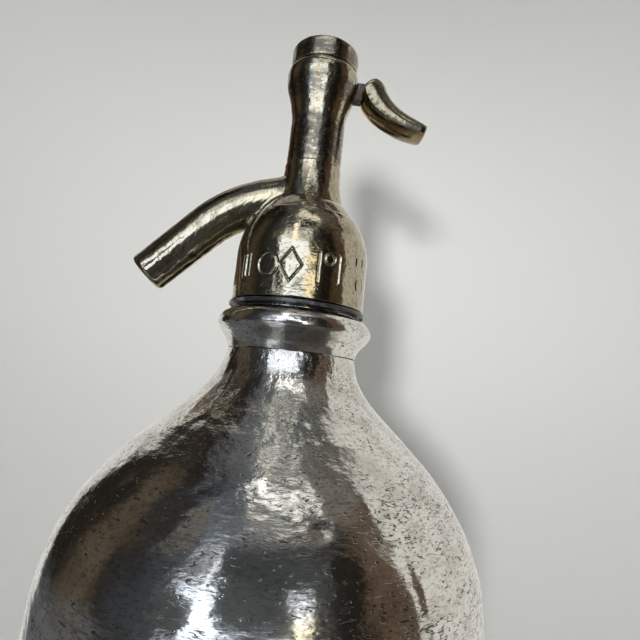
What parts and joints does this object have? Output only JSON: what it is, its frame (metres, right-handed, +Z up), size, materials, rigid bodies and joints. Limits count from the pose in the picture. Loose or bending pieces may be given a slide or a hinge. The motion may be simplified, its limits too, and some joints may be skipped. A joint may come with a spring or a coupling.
{
  "type": "soda siphon",
  "caption": "Refillable soda siphon: round-shouldered polished metal bottle under a nickel head with a curved down-turned spout and a side thumb lever that opens the valve.",
  "frame": {"origin": "middle of the bottle's foot, on the surface it stands on", "axes": "+Z up the bottle's axis; the spout points to -X and the thumb lever to +X; the picture looks along +Y"},
  "size_m": [0.1164, 0.1164, 0.3103],
  "materials": {
    "polished_aluminium": "polished, with fine pits and turning lines",
    "nickel_plate": "worn warm nickel plate",
    "brass": "machined",
    "steel": "drawn wire and rod",
    "black_rubber": "smooth",
    "red_fibre": "vulcanised fibre",
    "clear_glass": "clear"
  },
  "bodies": {
    "siphon_body": {"bottle_body": "polished_aluminium", "neck_collar": "polished_aluminium", "skirt_gasket": "black_rubber", "mouth_washer": "black_rubber", "head_body": "nickel_plate", "spout": "nickel_plate", "lever_housing": "nickel_plate", "top_cap": "nickel_plate", "lever_pin": "steel", "valve_spring": "steel", "gland_nut": "brass", "gland_packing": "black_rubber", "seat_insert": "brass", "seat_washer": "red_fibre", "tube_grommet": "black_rubber", "tube_nut": "brass", "dip_tube": "clear_glass"},
    "lever_body": {"lever": "nickel_plate"},
    "valve_body": {"stem_yoke": "brass", "valve_stem": "brass", "spring_seat": "brass", "valve_cup": "brass", "valve_rubber": "black_rubber", "rubber_nut": "brass"}
  },
  "joints": [
    {"name": "lever_press", "type": "hinge", "parent": "siphon_body", "child": "lever_body", "pos_m": [0.0085, 0, 0.299], "axis": [0, 1, 0], "range_deg": [0, 15.4], "stiffness_Nm_per_rad": 0.22, "springref_deg": -31.51},
    {"name": "valve_lift", "type": "slide", "parent": "siphon_body", "child": "valve_body", "axis": [0, 0, 1], "range_m": [0, 0.0023], "deforming": ["valve_spring"]}
  ],
  "couplings": [
    {"joint": "valve_lift", "follows": "lever_press", "m_per_rad": 0.0085}
  ]
}
